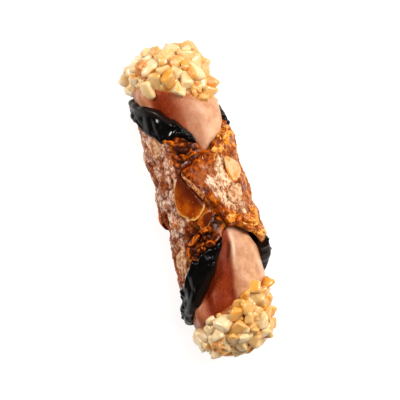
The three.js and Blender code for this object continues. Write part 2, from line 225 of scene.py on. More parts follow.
open_dough = smooth(outer_wrap, 34, 60)
flap = smooth(outer_wrap, WRAP_END - 120, WRAP_END - 95)
rim_distance = np.minimum(head_edge(outer_wrap) - outer_x, outer_x - foot_edge(outer_wrap))
broad = grain(smooth_outer, 9.5, 1, 2)
swell = 1 - np.clip(cells(smooth_outer, 5.6, 2) / 0.62, 0, 1)
lumps = grain(smooth_outer * [0.8, 1, 1], 3.6, 5, 4)
fine = grain(smooth_outer, 1.2, 3, 3)
wrinkles = creases(smooth_outer * [0.45, 1, 1], 3.4, 4, 2, 2.6)
cracks = creases(smooth_outer, 5.5, 14, 3, 6)
pocks = smooth(0.24 - cells(smooth_outer, 3.2, 6), 0, 0.12) * smooth(grain(smooth_outer, 6, 7, 1), -0.1, 0.2)
crumble = 0.55 * swell**1.5 + 0.75 * lumps + 0.22 * fine - 0.1
crumble = crumble + (0.35 - 0.2 * flap) * wrinkles - (0.45 - 0.25 * flap) * cracks - 0.7 * pocks
crumble = crumble * (1 - 0.65 * smooth(outer_wrap, WRAP_END - 26, WRAP_END - 10))
crumble = crumble * (1 - 0.35 * flap * smooth(rim_distance, 4, 9))
turn = (HIDDEN_TURN - outer_wrap + 180) % 360 - 180


def spot(turn_middle, x_middle, turn_reach, x_reach):
    """1 in the middle of a soft oval on the crust, and 0 away from it"""
    return np.exp(-(((turn - turn_middle) / turn_reach) ** 2) - ((outer_x - x_middle) / x_reach) ** 2)


burnt = (1 - flap) * np.clip(sum(strength * spot(*place) for strength, *place in BURNT_SPOTS), 0, 1)
curls = creases(smooth_outer * [0.7, 1, 1], 4.4, 31, 2, 3.2)
relief = 0.7 * broad + crumble * (1 - 0.5 * burnt) + 1.5 * burnt * (curls - 0.45)
for turn_at, x_at, reach, height in SIDE_SWELLS:
    relief = relief + height * spot(turn_at, x_at, SWELL_TURN, reach)
hollow_painted_dark = spot(-67, -4.3, 5, 2.4)  # the dark gap behind the flake that has curled off the side
relief = np.maximum(relief - 1.4 * hollow_painted_dark, DEEPEST_DENT)
outer = at(HIDDEN_TURN - outer_wrap, outer_x, dough_radius(outer_wrap, outer_x) + open_dough * relief)

inner_along = np.linspace(1, 0, INNER_COLUMNS)[None, :]
inner_x = mixed(foot_edge(wrap), head_edge(wrap), inner_along)
lifted = 0.5 * smooth(wrap, WRAP_END - 30, WRAP_END)
inner = at(HIDDEN_TURN - wrap, inner_x, dough_radius(wrap, inner_x) - DOUGH + lifted)


def edge_wall(start, end, outward):
    """Columns of a cut edge from one rim to the other, swelling outward and split into fried layers"""
    share = np.linspace(0, 1, EDGE_COLUMNS + 2)[1:-1][None, :, None]
    wall = mixed(start[:, None], end[:, None], share)
    layers = 0.16 * np.sin(share * 21) + 0.45 * grain(wall * [1, 1, 0.4], 1.9, 8, 3)[..., None]
    return wall + (np.sin(np.pi * share) * 0.75 + layers) * outward


toward_head = np.array([1.0, 0, 0])
head_wall = edge_wall(outer[:, -1], inner[:, 0], toward_head * 0.8)
foot_wall = edge_wall(inner[:, -1], outer[:, 0], -toward_head * mixed(0.8, 0.45, seam[:, :, None]))
rings = np.concatenate([outer, head_wall, inner, foot_wall], 1)
rings[..., 2] = np.maximum(rings[..., 2], 0)
crust = skin("crust", rings)

shape = rings.shape[:2]
first_foot_wall = OUTER_COLUMNS + EDGE_COLUMNS + INNER_COLUMNS


def on_outside(values, elsewhere=0.0):
    """Values for every point of the crust from those of its outside"""
    spread = np.full(shape, elsewhere)
    spread[:, :OUTER_COLUMNS] = values
    return spread


from_seam = outer_x - foot_edge(outer_wrap)
seam_band = flap * smooth(-from_seam, -12, -3) * smooth(outer_wrap, 368, 378)
tip_band = smooth(outer_wrap, WRAP_END - 24, WRAP_END - 8)
rim_band = smooth(-rim_distance, -7, -2)
right_side = smooth(turn, 50, 72) * smooth(-turn, -140, -110)
frosted_patch = flap * np.clip(spot(20, 9, 19, 9) + spot(34, -3, 19, 9), 0, 1)
patchy = grain(smooth_outer, 5.5, 9, 3)
glaze = flap * (0.5 + 0.45 * seam_band + 0.4 * tip_band + 0.45 * rim_band + 0.3 * right_side + 0.5 * patchy)
glaze = glaze - 0.35 * frosted_patch + (1 - flap) * (0.16 + 0.8 * patchy + 0.9 * burnt + 0.3 * rim_band)
sugar = 0.6 + 0.35 * grain(smooth_outer * [0.5, 1, 1], 3.6, 10, 3) + 0.45 * grain(smooth_outer, 11, 15, 2)
sugar = sugar - flap * (0.34 + 0.6 * seam_band + 0.4 * rim_band + 1.1 * tip_band + 0.2 * right_side)
sugar = sugar + 0.36 * frosted_patch * (1 - 1.4 * patchy) - 1.1 * burnt
# Cracks, pits and low places are painted darker in the crust's colour: painted shade.
crevice = (0.75 * cracks + 0.9 * pocks + 0.8 * smooth(-crumble, 0.0, 0.6)) * (1 - 0.65 * frosted_patch)
cut = np.zeros(shape)
cut[:, first_foot_wall:] = seam * smooth(wrap, WRAP_END - 32, WRAP_END - 12)
head_chips = smooth(outer_x - head_edge(outer_wrap), -5, -4) * smooth(outer_wrap, *CHIPS_FROM)
foot_chips = smooth(-from_seam, -7.5, -6) * smooth(outer_wrap, *CHIPS_FROM) * smooth(-outer_wrap, -376, -368)
chip_bed = np.maximum(head_chips * smooth(-outer_wrap, -370, -362), foot_chips)
crumb_bed = smooth(burnt, 0.35, 0.6) * smooth(rim_distance, 2.5, 3.5)
paint(
    crust,
    glaze=on_outside(glaze, 1.0),
    # the hollow behind the curled flake is dented, kept clear of sugar and painted dark through the burnt
    # mask: a painted shadow
    sugar=on_outside((sugar - 2 * hollow_painted_dark) * open_dough),
    burnt=on_outside(burnt + 1.5 * hollow_painted_dark + 0.45 * tip_band),
    curls=on_outside(curls * (1 - hollow_painted_dark)),
    height=on_outside(smooth(crumble, -0.35, 0.75), 0.5),
    crevice=on_outside(crevice),
    cut=cut,
    chip_bed=on_outside(chip_bed),
    crumb_bed=on_outside(crumb_bed),
)


def linear(tint):
    """A colour as seen on a screen, from 0 to 255, as the shader's own values"""
    screen = [value / 255 for value in tint]
    return [v / 12.92 if v <= 0.04045 else ((v + 0.055) / 1.055) ** 2.4 for v in screen] + [1]


class Field:
    """A shader socket that Python's arithmetic turns into Math nodes"""

    def __init__(self, finish, socket):
        self.finish, self.socket = finish, socket

    def math(self, operation, *values):
        return self.finish.make("ShaderNodeMath", {"operation": operation}, dict(enumerate(values)))[0]

    def __add__(self, other):
        return self.math("ADD", self, other)

    def __sub__(self, other):
        return self.math("SUBTRACT", self, other)

    def __mul__(self, other):
        return self.math("MULTIPLY", self, other)

    def __rsub__(self, other):
        return self.math("SUBTRACT", other, self)

    __radd__ = __add__
    __rmul__ = __mul__

    def __abs__(self):
        return self.math("ABSOLUTE", self)

    def step(self, low, high):
        """0 below one value and 1 above another, with a soft change between"""
        limits = {"From Min": low, "From Max": high}
        settings = {"interpolation_type": "SMOOTHSTEP"}
        return self.finish.make("ShaderNodeMapRange", settings, {"Value": self, **limits})[0]


class Finish:
    """A material whose varying values come from nodes"""

    def __init__(self, name, **constants):
        self.material = bpy.data.materials.new(name)
        self.material.use_nodes = True
        self.tree = self.material.node_tree
        self.surface = self.tree.nodes["Principled BSDF"]
        for socket, value in constants.items():
            self.surface.inputs[socket.replace("_", " ")].default_value = value

    def make(self, kind, settings=None, inputs=None):
        """Any node: its settings first, then its sockets' values or links"""
        node = self.tree.nodes.new(kind)
        for name, value in (settings or {}).items():
            setattr(node, name, value)
        for name, value in (inputs or {}).items():
            self.feed(node.inputs[name], value)
        return [Field(self, socket) for socket in node.outputs]

    def feed(self, socket, value):
        if isinstance(value, Field):
            self.tree.links.new(value.socket, socket)
        else:
            socket.default_value = value

    def place(self):
        return self.make("ShaderNodeTexCoord")[3]

    def mask(self, name):
        return self.make("ShaderNodeAttribute", {"attribute_name": name})[2]

    def noise(self, size, detail=3.0, distortion=0.0, stretch=1.0):
        """Soft noise from 0 to 1, in patches about one size across in mm, and longer along X if stretched"""
        place = self.place()
        if stretch != 1:
            squeezed = {0: place, 1: (1 / stretch, 1, 1)}
            place = self.make("ShaderNodeVectorMath", {"operation": "MULTIPLY"}, squeezed)[0]
        inputs = {"Vector": place, "Scale": 1 / (size * MM), "Detail": detail, "Distortion": distortion}
        return self.make("ShaderNodeTexNoise", None, inputs)[0]

    def dots(self, size):
        """Distance from the nearest of points scattered about one size apart"""
        inputs = {"Vector": self.place(), "Scale": 1 / (size * MM)}
        return self.make("ShaderNodeTexVoronoi", None, inputs)[0]

    def blend(self, factor, low, high):
        """One colour where the factor is 0 and another where it is 1"""
        low, high = (linear(end) if isinstance(end, tuple) else end for end in (low, high))
        return self.make("ShaderNodeMix", {"data_type": "RGBA"}, {0: factor, 6: low, 7: high})[2]

    def layered(self, base, *layers):
        """A colour with others laid over it in turn, each with its own share"""
        for share, tint in layers:
            base = self.blend(share, base, tint)
        return base

    def wear(self, **values):
        for name, value in values.items():
            self.feed(self.surface.inputs[name.replace("_", " ")], value)

    def bump(self, height, depth, strength=1.0):
        inputs = {"Height": height, "Distance": depth * MM, "Strength": strength}
        self.wear(Normal=self.make("ShaderNodeBump", None, inputs)[0])

    def coat(self, piece):
        piece.data.materials.clear()
        piece.data.materials.append(self.material)


fried = Finish("fried_crust", IOR=1.45, Specular_IOR_Level=0.12, Coat_Roughness=0.1)
glaze_share = (fried.mask("glaze") + 0.5 * (fried.noise(2.0, 4.0) - 0.5)).step(0.34, 0.66)
speckle = fried.noise(0.9, 4.0)
veins = 1 - (abs(fried.noise(2.2, 4.0, 0.6, 1.6) - 0.5) * 11).step(0.0, 1.0)
haze = 0.2 * fried.mask("height") + 0.8 * fried.mask("sugar") + 0.35 * (speckle - 0.5) + 0.2 * veins
haze = (haze - 0.3 * glaze_share).step(0.1, 1.1) * fried.mask("sugar").step(-0.1, 0.6)
net = 1 - (abs(fried.noise(1.3, 3.0, 0.5, 1.5) - 0.5) * 9).step(0.0, 1.0)
crystals = (haze * (0.5 + 0.5 * net + 0.4 * veins)).step(0.14, 0.86)
raw = fried.layered(
    fried.blend(fried.noise(2.0, 4.0, 0.3, 2.0).step(0.3, 0.7), (122, 56, 20), (188, 112, 62)),
    (fried.noise(9.0, 2.0).step(0.4, 0.7) * 0.5, (156, 84, 36)),
    (fried.noise(3.0, 3.0, 0.5).step(0.56, 0.7) * 0.8, (202, 106, 22)),
)
runs = fried.noise(3.6, 3.0, 0.8).step(0.36, 0.66)
flapward = fried.make("ShaderNodeSeparateXYZ", None, {"Vector": fried.place()})[1] * -60
on_flap = flapward.step(0.1, 0.5)
caramel = fried.layered(
    fried.blend(runs, (92, 30, 0), (200, 98, 4)),
    # caramel painted lighter and more orange towards the picture's right (-Y), where the key light falls:
    # painted light
    (flapward.step(0.4, 1.0), fried.blend(runs, (150, 60, 0), (240, 158, 50))),
    # raised bumps of the caramel painted lighter: a painted highlight of the glaze
    (fried.mask("height").step(0.5, 1.0) * 0.55, (244, 168, 64)),
)
curled = (fried.mask("curls") + 0.5 * (fried.noise(1.4, 3.0) - 0.5)).step(0.3, 0.75)
skin_colour = fried.layered(
    fried.blend(glaze_share, raw, caramel),
    (fried.mask("burnt").step(0.2, 0.7) * 0.9, fried.blend(curled, (52, 17, 1), (218, 110, 14))),
    (haze * 0.62, fried.blend(on_flap, (220, 164, 134), (228, 164, 106))),
    (crystals * 0.74, fried.blend(on_flap, (250, 226, 206), (253, 230, 196))),
    (fried.noise(1.5, 3.0, 0.4, 1.5).step(0.54, 0.66) * 0.7, (178, 84, 18)),
    (fried.noise(1.2, 3.0, 0.3, 1.6).step(0.58, 0.68) * 0.7, (84, 32, 8)),
    # painted shade in the cracks, pits and low places
    (fried.mask("crevice") * 0.8, (104, 36, 2)),
)
layers = (fried.noise(1.1, 4.0, 0.6) + 0.3 * (fried.noise(3.0) - 0.5)).step(0.4, 0.56)
cut_colour = fried.blend(layers, (150, 58, 14), (255, 184, 122))
glossy = glaze_share * (1 - haze)
beads = fried.noise(1.6, 2.0).step(0.45, 0.62)
fried.wear(
    Base_Color=fried.blend(fried.mask("cut"), skin_colour, cut_colour),
    Roughness=0.62 - 0.4 * glossy,
    Coat_Weight=0.7 * glossy * beads,
)
fried.bump(speckle + 0.4 * veins + 0.8 * fried.noise(1.8, 3.0), 0.3, 0.7)
fried.coat(crust)
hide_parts("shell")
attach(crust, "root")

# The chocolate cream
# Smooth chocolate cream, piped in from both ends with a wide nozzle. It fills the roll, swells into the V of
# each mouth with the folds of the piping, and stands out of the ends as blunt plugs.

PLUG_HALF_WIDTH = 15.5
PLUG_HALF_HEIGHT = 15.4
PLUG_SIDE = 0.9
PLUG_RISE = 1.1
PLUG_END = 60.8
PLUG_ROUND = 9
PLUG_POWER = 2.3
MOUTH_RADIUS = 16.4
COAT = 1.3  # the thickness of the chocolate on the rims
NO_DOUGH = -1000
NUT_LINE = (35.4, 40.8, 46.8)  # how far out the chopped almonds begin: at least, at the top, at most
NUT_DENT = 1.1  # how far the cream gave way under them


def rim_at(turn, edge, side):
    """How far out along X the dough reaches at a turn"""
    first = np.where(HIDDEN_TURN - turn >= 0, side * edge(HIDDEN_TURN - turn), NO_DOUGH)
    last_wrap = 360 + HIDDEN_TURN - turn
    last = np.where(last_wrap <= WRAP_END, side * edge(np.minimum(last_wrap, WRAP_END)), NO_DOUGH)
    return np.maximum(first, last)


def rim_beside(turn, x):
    return np.where(x > 0, rim_at(turn, head_edge, 1), rim_at(turn, foot_edge, -1))


def plug_radius(turn):
    """The outline of the cream that stands out of the ends, a little off the roll's axis"""
    angle = np.radians(turn)
    side, up = -np.sin(angle) / PLUG_HALF_WIDTH, np.cos(angle) / PLUG_HALF_HEIGHT
    side_off, up_off = PLUG_SIDE / PLUG_HALF_WIDTH, PLUG_RISE / PLUG_HALF_HEIGHT
    square = side**2 + up**2
    middle = side * side_off + up * up_off
    return (middle + np.sqrt(middle**2 + square * (1 - side_off**2 - up_off**2))) / square


def past_ridge(turn, out):
    """How far a turn is past the ridge of the fold in the foot's mouth"""
    return turn - mixed(21, 7.5, np.clip((out - 19) / 17, 0, 1))


def cream_radius(turn, x):
    out = np.abs(x)
    past = past_ridge(turn, out)
    ridge = np.tanh(past / mixed(2.8, 6, np.clip((out - 22) / 12, 0, 1)))
    sharp = (ridge + 0.6 * hump(past, 2.5, 3.2)) * hump(turn, 18, 36) * smooth(out, 14, 22)
    soft = 0.5 * np.sin((turn - 4) / 22) + 0.35 * hump(turn, 46, 16)
    fold = np.where(x < 0, sharp, soft)
    dip = 1.1 * smooth(-turn, -8, 30) * smooth(96 + turn, 0, 30) * smooth(44 - out, 0, 9)
    lobe = 2.0 * np.exp(-(((turn + 47) / 10) ** 2) - ((out - 44) / 5.5) ** 2)
    lobe = lobe - 1.3 * np.exp(-(((turn + 31) / 5) ** 2) - ((out - 42.5) / 5) ** 2)
    open_radius = mixed(MOUTH_RADIUS + fold - dip, plug_radius(turn), smooth(out, 34, 45)) + lobe
    hidden = SHELL_RADIUS - DOUGH - 0.5
    rim = rim_beside(turn, x)
    return mixed(hidden, open_radius, smooth(out, rim - 4, rim + 1.5))


def past_nut_line(turn, x):
    """How far a place is past where the almonds begin: the ends were rolled in them a little askew"""
    least, top, most = NUT_LINE
    return np.abs(x) - np.maximum(np.clip(top - turn / 8, least, most), rim_beside(turn, x) + COAT + 1.2)


def plug_profile(x):
    share = np.clip((np.abs(x) - (PLUG_END - PLUG_ROUND)) / PLUG_ROUND, 0, 1)
    return (1 - share**PLUG_POWER) ** (1 / PLUG_POWER)


CREAM_ROWS = 250
CREAM_RING = 260
cream_angle = np.linspace(-1, 1, CREAM_ROWS)[:, None] * (np.pi / 2)
cream_x = PLUG_END * 0.9999 * np.sign(cream_angle) * np.abs(np.sin(cream_angle)) ** 0.8
cream_turn = np.linspace(-180, 180, CREAM_RING, endpoint=False)[None, :]
cream_round = np.maximum(plug_profile(cream_x), 0.02)
cream_places = at(cream_turn, cream_x, cream_radius(cream_turn, cream_x) * cream_round)
wobble = 0.22 * grain(cream_places, 8, 12, 2) + 0.05 * grain(cream_places, 2.2, 13, 2)
among_nuts = past_nut_line(cream_turn, cream_x)
cream_out = cream_radius(cream_turn, cream_x) - NUT_DENT * smooth(among_nuts, 0.5, 3.5) + wobble
cream_places = at(cream_turn, cream_x, cream_out * cream_round)
cream_places[..., 2] = np.maximum(cream_places[..., 2], 0.4)
cream = skin("cream_filling", cream_places)

past = past_ridge(cream_turn, -cream_x)
softness = mixed(1, 4, np.clip((-cream_x - 22) / 12, 0, 1))
# The sides of the mouths' folds that face the key light are painted paler, and the rest keeps the darker
# colour: painted light and shade.
foot_fold = 0.6 * smooth(past / softness, -0.5, 2.5) + 0.4 * smooth(past, 2, 28)
lit_fold = np.where(cream_x < 0, foot_fold, smooth(cream_turn, -20, 50)) * smooth(-cream_turn, -120, -70)
lit_lobe = np.where(cream_x < 0, 0.3, 0.6) * smooth(-cream_turn, 34, 40) * smooth(cream_turn, -80, -60)
clear_of_table = smooth(cream_places[..., 2], 4.0, 4.6)
paint(
    cream,
    # a pale streak along the foot fold's ridge: a painted highlight
    crest=hump(past, 3.8, 3.6) * smooth(-cream_x, 14, 18) * smooth(cream_x, -31, -22),
    paste=smooth(among_nuts, 1.5, 3.2),
    nut_bed=smooth(among_nuts, 2.4, 2.8) * clear_of_table,
    whipped=lit_fold + lit_lobe,
)

piped = Finish(
    "chocolate_cream",
    Subsurface_Weight=0.15,
    Subsurface_Scale=1.5 * MM,
    Subsurface_Radius=(1.0, 0.45, 0.25),
    IOR=1.5,
    Specular_IOR_Level=0.22,
)
mousse = piped.layered(
    piped.blend(piped.noise(5.0).step(0.3, 0.7), (130, 44, 10), (150, 60, 20)),
    # paler colour where the light falls over the darker base: painted light and shade
    (piped.mask("whipped"), piped.blend(piped.noise(4.0).step(0.3, 0.7), (198, 142, 104), (222, 176, 138))),
    (piped.noise(0.6, 2.0).step(0.52, 0.72) * 0.13, (232, 172, 130)),
    (piped.noise(0.8, 2.0, 0.3).step(0.54, 0.7) * 0.2, (140, 70, 36)),
    # painted highlight along the fold's ridge
    (piped.mask("crest") * 0.55, (252, 218, 184)),
)
paste = piped.blend(piped.noise(1.6).step(0.35, 0.7), (176, 108, 56), (208, 150, 98))
piped.wear(
    Base_Color=piped.blend(piped.mask("paste"), mousse, paste),
    Roughness=0.3 + 0.12 * piped.noise(1.2) - 0.12 * piped.mask("crest"),
)
piped.bump(piped.noise(0.9, 3.0), 0.12, 0.35)
piped.coat(cream)
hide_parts("cream")
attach(cream, "root")

# The chopped almonds
# Blanched almonds, chopped by knife and partly roasted: ivory chunks with flat cut faces and worn edges, some
# golden from the oven, and those on the picture's right painted more golden as painted light. The cream's
# ends were rolled in them, so they are pressed in, the larger ones on top.

LARGE_KINDS = 14
SMALL_KINDS = 8
FIRST_SMALL, FIRST_SHARD, FIRST_SPLINTER = 40, 60, 80  # the seeds that their shapes start from
CRISPNESS = (7, 17)  # from worn edges to sharp ones
LOWEST_NUT, HIGHEST_NUT = 0.3, 38.6  # the heights that no kernel reaches past
DENSEST = 4e6  # more points to a square metre than any spacing leaves room for
MANY = 1000  # the range of the random whole numbers that pick a kind


def ball(detail):
    """A round model to press into shape, and the direction of each of its points"""
    model = bmesh.new()
    bmesh.ops.create_icosphere(model, subdivisions=detail, radius=1)
    return model, np.array([vert.co for vert in model.verts])


def mesh_of(name, model):
    mesh = bpy.data.meshes.new(name)
    model.to_mesh(mesh)
    model.free()
    mesh.shade_smooth()
    return mesh


def chopped_almond(seed, detail, breadth=1.0, depth=1.0):
    """A chunk of kernel about 1 long: a rounded solid inside a skewed box, with three more cuts through it"""
    draw = random.Random(seed)
    cuts = []
    halves = (0.52, draw.uniform(0.28, 0.42) * breadth, draw.uniform(0.2, 0.34) * depth)
    for axis, distance in enumerate(halves):
        for side in (-1, 1):
            facing = Vector([draw.gauss(0, 0.2) for _ in range(3)])
            facing[axis] += side
            cuts.append((facing.normalized(), distance))
    for _ in range(3):
        facing = Vector([draw.gauss(0, 1) for _ in range(3)]).normalized()
        cuts.append((facing, draw.uniform(0.26, 0.4)))
    model, directions = ball(detail)
    facings = np.array([facing for facing, _ in cuts])
    nearness = np.maximum(directions @ facings.T, 0) / np.array([distance for _, distance in cuts])
    crispness = draw.uniform(*CRISPNESS)
    shares = nearness**crispness
    reach = shares.sum(1) ** (-1 / crispness)
    for vert, length in zip(model.verts, reach):
        vert.co *= length
    mesh = mesh_of(f"chopped_almond_{seed}", model)
    toasted = shares[:, 1::3].sum(1) / shares.sum(1)
    layer = mesh.attributes.new("toasted", "FLOAT", "POINT")
    layer.data.foreach_set("value", toasted.astype(np.float32))
    return mesh


def kept_kinds(name, count, first_seed, *shape):
    """A collection of kernels to scatter, which isn't part of the scene"""
    group = bpy.data.collections.new(name)
    for seed in range(first_seed, first_seed + count):
        mesh = chopped_almond(seed, *shape)
        group.objects.link(bpy.data.objects.new(mesh.name, mesh))
    return group


def scatter_tree():
    """Geometry nodes that set pieces of several kinds on a surface where a mask allows them"""
    tree = bpy.data.node_groups.new("scattered_pieces", "GeometryNodeTree")
    inputs = {
        "Bed": "Geometry",
        "Kinds": "Collection",
        "Finish": "Material",
        "Spacing": "Float",
        "Smallest": "Float",
        "Largest": "Float",
        "Sink": "Float",
        "Tilt": "Float",
        "Seed": "Int",
    }
    for name, kind in inputs.items():
        tree.interface.new_socket(name, in_out="INPUT", socket_type=f"NodeSocket{kind}")
    tree.interface.new_socket("Pieces", in_out="OUTPUT", socket_type="NodeSocketGeometry")

    def make(kind, settings=None, links=None):
        node = tree.nodes.new(kind)
        for name, value in (settings or {}).items():
            setattr(node, name, value)
        for name, value in (links or {}).items():
            if isinstance(value, bpy.types.NodeSocket):
                tree.links.new(value, node.inputs[name])
            else:
                node.inputs[name].default_value = value
        return node.outputs

    given = make("NodeGroupInput")
    mask = make("GeometryNodeInputNamedAttribute", {"data_type": "FLOAT"}, {"Name": "bed_mask"})
    spread = make(
        "GeometryNodeDistributePointsOnFaces",
        {"distribute_method": "POISSON"},
        {
            "Mesh": given["Bed"],
            "Distance Min": given["Spacing"],
            "Density Max": DENSEST,
            "Density Factor": mask[0],
            "Seed": given["Seed"],
        },
    )
    sinking = {0: spread["Normal"], "Scale": given["Sink"]}
    down = make("ShaderNodeVectorMath", {"operation": "SCALE"}, sinking)
    moved = {"Geometry": spread["Points"], "Offset": down[0]}
    seated = make("GeometryNodeSetPosition", None, moved)
    tone = make("FunctionNodeRandomValue", {"data_type": "FLOAT"}, {"Seed": 3})
    toned = make(
        "GeometryNodeStoreNamedAttribute",
        {"data_type": "FLOAT", "domain": "POINT"},
        {"Geometry": seated[0], "Name": "tone", "Value": tone[1]},
    )
    least = make("ShaderNodeMath", {"operation": "MULTIPLY"}, {0: given["Tilt"], 1: -1.0})
    low = make("ShaderNodeCombineXYZ", None, {"X": least[0], "Y": least[0], "Z": -math.pi})
    high = make("ShaderNodeCombineXYZ", None, {"X": given["Tilt"], "Y": given["Tilt"], "Z": math.pi})
    limits = {"Min": low[0], "Max": high[0], "Seed": 5}
    spin = make("FunctionNodeRandomValue", {"data_type": "FLOAT_VECTOR"}, limits)
    turned = make(
        "FunctionNodeRotateRotation",
        {"rotation_space": "LOCAL"},
        {"Rotation": spread["Rotation"], "Rotate By": spin[0]},
    )
    chance = make("FunctionNodeRandomValue", {"data_type": "FLOAT"}, {"Seed": 7})
    sizes = {"Value": chance[1], "To Min": given["Smallest"], "To Max": given["Largest"]}
    size = make("ShaderNodeMapRange", None, sizes)
    apart = {"Collection": given["Kinds"], "Separate Children": True}
    kinds = make("GeometryNodeCollectionInfo", None, apart)
    number = make("FunctionNodeRandomValue", {"data_type": "INT"}, {4: 0, 5: MANY, "Seed": 9})
    placed = make(
        "GeometryNodeInstanceOnPoints",
        None,
        {
            "Points": toned[0],
            "Instance": kinds[0],
            "Pick Instance": True,
            "Instance Index": number[2],
            "Rotation": turned[0],
            "Scale": size[0],
        },
    )
    solid = make("GeometryNodeRealizeInstances", None, {"Geometry": placed[0]})
    coated = {"Geometry": solid[0], "Material": given["Finish"]}
    finished = make("GeometryNodeSetMaterial", None, coated)
    make("NodeGroupOutput", None, {"Pieces": finished[0]})
    return tree


SCATTER = scatter_tree()


def scattered(name, bed, mask, kinds, finish, spacing, sizes, sink, tilt, seed):
    """Pieces set on a bed's surface by the scatter nodes, as one plain mesh. Lengths are in mm."""
    holder = add(name, bed.data.copy())
    values = np.zeros(len(holder.data.vertices), np.float32)
    holder.data.attributes[mask].data.foreach_get("value", values)
    paint(holder, bed_mask=values)
    modifier = holder.modifiers.new("scatter", "NODES")
    modifier.node_group = SCATTER
    wanted = {
        "Kinds": kinds,
        "Finish": finish.material,
        "Spacing": spacing * MM,
        "Smallest": sizes[0] * MM,
        "Largest": sizes[1] * MM,
        "Sink": -sink * MM,
        "Tilt": tilt,
        "Seed": seed,
    }
    for socket in SCATTER.interface.items_tree:
        if socket.in_out == "INPUT" and socket.name in wanted:
            modifier[socket.identifier] = wanted[socket.name]
    evaluated = holder.evaluated_get(bpy.context.evaluated_depsgraph_get())
    mesh = bpy.data.meshes.new_from_object(evaluated)
    places = np.zeros(len(mesh.vertices) * 3, np.float32)
    mesh.vertices.foreach_get("co", places)
    places[2::3] = np.clip(places[2::3], LOWEST_NUT * MM, HIGHEST_NUT * MM)
    mesh.vertices.foreach_set("co", places)
    holder.modifiers.clear()
    holder.data = mesh
    return holder


nut = Finish(
    "chopped_almond",
    Subsurface_Weight=0.35,
    Subsurface_Scale=1.5 * MM,
    Subsurface_Radius=(1.0, 0.8, 0.5),
    IOR=1.48,
    Coat_Weight=0.35,
    Coat_Roughness=0.12,
)
place = nut.make("ShaderNodeSeparateXYZ", None, {"Vector": nut.place()})
# the random tone, plus -28·Y, which pushes kernels on the picture's right (-Y), where the key light falls,
# towards golden: painted light
tone = nut.mask("tone") - 28 * place[1]
pale = nut.blend(tone.step(0.0, 0.5), (246, 218, 174), (234, 198, 144))
golden = nut.blend(tone.step(0.5, 1.0), (224, 174, 88), (220, 154, 60))
roast = (0.5 * nut.noise(3.0, 3.0) + 0.16 * tone + 0.44 * nut.mask("toasted")).step(0.5, 0.74)
nut_colour = nut.layered(
    nut.blend(tone.step(0.45, 0.9) * 0.75, pale, golden),
    (nut.noise(2.6, 2.0).step(0.42, 0.66) * 0.35, (220, 178, 112)),
    (roast * 0.85, (234, 160, 52)),
    (nut.noise(0.9).step(0.56, 0.74) * 0.35, (255, 240, 208)),
)
nut.wear(Base_Color=nut_colour, Roughness=0.26 + 0.2 * nut.noise(1.0))
nut.bump(nut.noise(1.4, 2.0), 0.14, 0.4)

large_nuts = kept_kinds("large_nuts", LARGE_KINDS, 1, 3)
small_nuts = kept_kinds("small_nuts", SMALL_KINDS, FIRST_SMALL, 2)
shards = kept_kinds("shards", SMALL_KINDS, FIRST_SHARD, 2, 0.75, 0.4)
under = {"spacing": 3.2, "sizes": (3.8, 5.8), "sink": 0.9, "tilt": 0.9, "seed": 4}
over = {"spacing": 4.6, "sizes": (5.0, 8.6), "sink": -0.25, "tilt": 0.9, "seed": 5}
nuts_under = scattered("almond_nibs_under", cream, "nut_bed", small_nuts, nut, **under)
nuts_over = scattered("almond_nibs_over", cream, "nut_bed", large_nuts, nut, **over)

WALNUTS = [(-36, 55.2), (-35, -56.6), (118, 52.6), (140, -54.4), (-118, -53.2)]  # turn and x


def walnut_crumb(number, turn, x):
    """A craggy bit of walnut, about 8 across, pressed in among the almonds"""
    model, directions = ball(4)
    ridges = 1 - 2.2 * np.abs(grain(directions * 4, 3.4, 50 + number, 3))
    size = 3.3 + 0.9 * ridges + 0.3 * grain(directions * 4, 1.1, 60 + number, 2)
    seat = float(plug_radius(turn) * plug_profile(np.array(float(x)))) - 0.4
    middle = at(turn, x, seat)
    for vert, place in zip(model.verts, middle + directions * size[:, None] * [1, 0.9, 0.8]):
        vert.co = place * MM
    name = f"walnut_crumb_{number}"
    piece = add(name, mesh_of(name, model))
    paint(piece, ridge=smooth(ridges, -0.2, 0.9))
    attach(piece, "root")
    return piece


walnut = Finish("walnut", IOR=1.45, Subsurface_Weight=0.2, Subsurface_Scale=1.2 * MM)
walnut_colour = walnut.layered(
    walnut.blend(walnut.noise(1.6, 3.0).step(0.35, 0.65), (206, 140, 76), (238, 188, 122)),
    ((1 - walnut.mask("ridge")) * 0.8, (196, 104, 34)),
)
walnut.wear(Base_Color=walnut_colour, Roughness=0.4 + 0.2 * walnut.noise(0.9))
walnut.bump(walnut.noise(0.8, 3.0), 0.25, 0.6)
for number, (turn_at, x_at) in enumerate(WALNUTS):
    walnut.coat(walnut_crumb(number, turn_at, x_at))

# The almonds baked into the crust
# Chopped almonds on the dough before it was fried. They lie thick on the two rims beside the flap, glazed
# orange, and as dark crumbs in the burnt caramel by the points of the two mouths.

baked = Finish("baked_almond", IOR=1.48)
baked_colour = baked.layered(
    baked.blend(baked.mask("tone").step(0.2, 0.9), (206, 108, 12), (244, 176, 80)),
    (baked.noise(1.2, 4.0).step(0.5, 0.64) * 0.8, (140, 58, 0)),
)
baked.wear(Base_Color=baked_colour, Roughness=0.28 + 0.25 * baked.noise(0.9))
baked.bump(baked.noise(0.9, 3.0), 0.3, 0.7)

toffee = Finish("burnt_toffee", IOR=1.5, Specular_IOR_Level=0.2)
toffee_colour = toffee.layered(
    toffee.blend(toffee.mask("tone").step(0.5, 1.0), (74, 26, 2), (222, 116, 18)),
    (toffee.noise(1.3, 3.0).step(0.42, 0.6) * 0.8, (70, 24, 3)),
)
toffee.wear(Base_Color=toffee_colour, Roughness=0.24 + 0.2 * toffee.noise(0.9))
toffee.bump(toffee.noise(0.8, 3.0), 0.3, 0.7)

